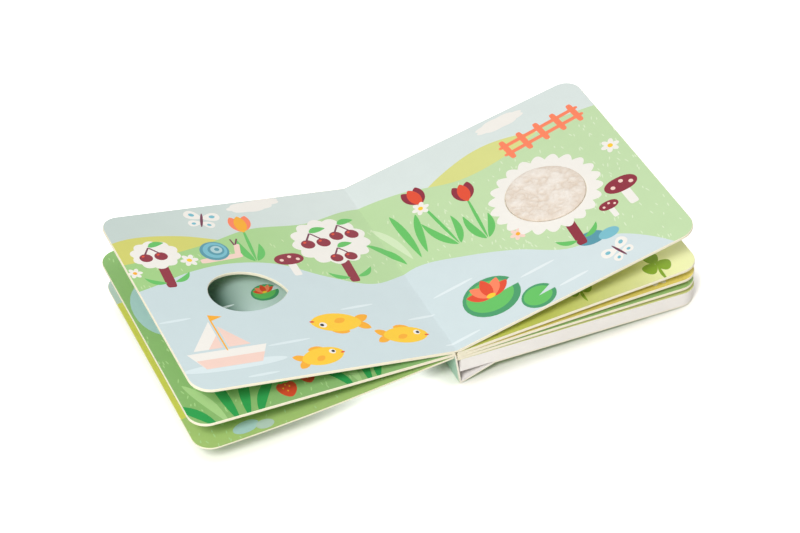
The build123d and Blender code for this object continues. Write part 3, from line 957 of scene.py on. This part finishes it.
material, tree, shader = surface("cover card", Specular_IOR_Level=0.35)
dots = wire(tree, "ShaderNodeTexVoronoi", {"voronoi_dimensions": "2D"}, Vector=own_place(tree),
            Scale=42.0, Randomness=0.35)
in_dot = computed(tree, "LESS_THAN", dots.outputs["Distance"], 0.16)
underside = facing(tree, 0.7, (0, 0, -1))
field = mixed_colour(tree, underside, linear((176, 216, 196)), linear(clover_green))
outside = mixed_colour(tree, in_dot, field, linear((208, 230, 206)))
lined = facing(tree, 0.4, (0, 0, 1), (1, 0, 0))
papered = mixed_colour(tree, lined, outside, linear((238, 234, 230)))
ends = facing(tree, 0.5, (0, 1, 0), (0, -1, 0))
edged = mixed_colour(tree, ends, papered, linear((244, 238, 222)))
varnish(tree, shader, edged, edged)
dress(material, "back_cover")

# Base block
# A slab of dense white foam that makes room for the sound unit. Its sides show fine closed
# cells, and its upper face is papered and printed as the last page.
material, tree, shader = surface("foam block", 0.8, Specular_IOR_Level=0.2)
cells = wire(tree, "ShaderNodeTexVoronoi", Vector=own_place(tree), Scale=1700.0).outputs["Distance"]
clouding = clouds(tree, scale=60.0, detail=3.0)
foam = mixed_colour(tree, clouding, linear((242, 238, 234)), linear((250, 247, 244)))
upper_face = facing(tree, 0.99, (sin(radians(back_tilt)), 0, cos(radians(back_tilt))))
top_print = mixed_colour(tree, upper_face, foam, linear((222, 226, 150)))
finish(tree, shader, top_print, cells, strength=0.35, distance=0.0002)
dress(material, "base_block")

# Case of the sound unit and its battery door
# Moulded in off-white plastic with a fine spark texture, flush with the back cover.
material, tree, shader = surface("case plastic", 0.55, Specular_IOR_Level=0.45)
spark = clouds(tree, scale=2600.0, detail=3.0)
flow = clouds(tree, scale=45.0, detail=2.0)
plastic = mixed_colour(tree, flow, linear((222, 221, 214)), linear((236, 235, 229)))
finish(tree, shader, plastic, spark, strength=0.4, distance=0.0001,
       rough=between(tree, spark, 0.45, 0.65))
dress(material, "unit_case", "battery_door")

# Speaker
# A black pressed frame with a paper cone behind the sound holes.
material, tree, shader = surface("speaker paper", 0.7)
fibre = clouds(tree, scale=900.0, detail=4.0)
cone = mixed_colour(tree, fibre, linear((24, 24, 26)), linear((58, 57, 58)))
finish(tree, shader, cone, fibre, strength=0.3, distance=0.0001)
dress(material, "speaker")

# Circuit board
# Green laminate with a light lacquer over its copper tracks.
material, tree, shader = surface("laminate", 0.35)
tracks = wire(tree, "ShaderNodeTexBrick", Vector=own_place(tree), Scale=240.0, Mortar_Size=0.02,
              Color1=linear((26, 98, 58)), Color2=linear((30, 108, 64)),
              Mortar=linear((64, 142, 88))).outputs
finish(tree, shader, tracks["Color"], tracks["Fac"], strength=0.3, distance=0.0001)
dress(material, "circuit_board")

# Button cells, contact strips and the door screw
# Nickel-plated steel with fine drawing marks.
material, tree, shader = surface("nickel", 0.3, Metallic=1.0)
marks = clouds(tree, scale=1.0, detail=3.0, stretch=(400.0, 5000.0, 400.0))
steel = mixed_colour(tree, marks, linear((178, 178, 176)), linear((214, 213, 208)))
finish(tree, shader, steel, marks, strength=0.15, distance=0.00005,
       rough=between(tree, marks, 0.22, 0.42))
dress(material, "button_cells", "battery_contacts", "door_screw")

# Sound button
# A moulded orange push button, glossy, with its flange held under the block's roof.
material, tree, shader = surface("button plastic", 0.3, Coat_Weight=0.3)
swirl = clouds(tree, scale=120.0, detail=3.0)
shine = mixed_colour(tree, swirl, linear((226, 84, 52)), linear((242, 112, 74)))
finish(tree, shader, shine, swirl, strength=0.1, distance=0.0001)
dress(material, "sound_button")

# Studio
# A pale table with soft light from the front left and a weak one from behind on the right. The
# camera is where the photograph was taken. The table glows for it, less beside what stands there.
table_half = 6.0
table_glow = 0.8
contact_reach = 0.02
contact_power = 4.0
room_light = 0.35


def seen_directly(tree):
    """A mask that is 1 for the camera and in mirrored views."""
    path = tree.nodes.new("ShaderNodeLightPath").outputs
    return computed(tree, "ADD", path["Is Camera Ray"], path["Is Glossy Ray"], use_clamp=True)


floor_mesh = bpy.data.meshes.new("table")
bm = bmesh.new()
bmesh.ops.create_grid(bm, x_segments=1, y_segments=1, size=table_half)
bm.to_mesh(floor_mesh)
bm.free()
floor = new_object("table", floor_mesh)
material, tree, shader = surface("white table", 0.9, Specular_IOR_Level=0.0)
shader.inputs["Base Color"].default_value = (0.89, 0.865, 0.81, 1)
shader.inputs["Emission Color"].default_value = (1, 1, 1, 1)
open_sky = wire(tree, "ShaderNodeAmbientOcclusion", {"samples": 8}, Distance=contact_reach)
evened = computed(tree, "POWER", open_sky.outputs["AO"], contact_power)
lift = computed(tree, "MULTIPLY", evened, table_glow)
glow = computed(tree, "MULTIPLY", seen_directly(tree), lift)
tree.links.new(glow, shader.inputs["Emission Strength"])
floor_mesh.materials.append(material)

world = bpy.data.worlds.new("studio")
world.use_nodes = True
bpy.context.scene.world = world
tree = world.node_tree
background = tree.nodes["Background"].inputs
background["Color"].default_value = (1, 1, 1, 1)
tree.links.new(between(tree, seen_directly(tree), room_light, 1.0), background["Strength"])


def lamp(name, place, size, power):
    """A square soft light, aimed at the origin."""
    light = bpy.data.lights.new(name, "AREA")
    light.size = size
    light.energy = power
    holder = new_object(name, light)
    holder.location = place
    holder.rotation_euler = Vector(place).to_track_quat("Z", "Y").to_euler()


lamp("key", (-0.9, -0.95, 1.45), 0.5, 26.4)
lamp("fill", (1.2, 0.6, 1.2), 0.8, 6.2)

view_azimuth = radians(-23.053)
view_elevation = radians(41.625)
view_distance = 1.667
view_roll = radians(-2.249)
view_target = Vector((0.00571, 0.01018, 0.020))
lens_for_36_mm = 111.256
back = Vector((sin(view_azimuth) * cos(view_elevation), -cos(view_azimuth) * cos(view_elevation),
               sin(view_elevation)))
lens = bpy.data.cameras.new("camera")
lens.sensor_width = 36.0
lens.lens = lens_for_36_mm
camera = new_object("camera", lens)
camera.matrix_world = (Matrix.Translation(view_target + back * view_distance)
                       @ back.to_track_quat("Z", "Y").to_matrix().to_4x4()
                       @ Matrix.Rotation(view_roll, 4, "Z"))
bpy.context.scene.camera = camera
bpy.context.scene.view_settings.view_transform = "Standard"
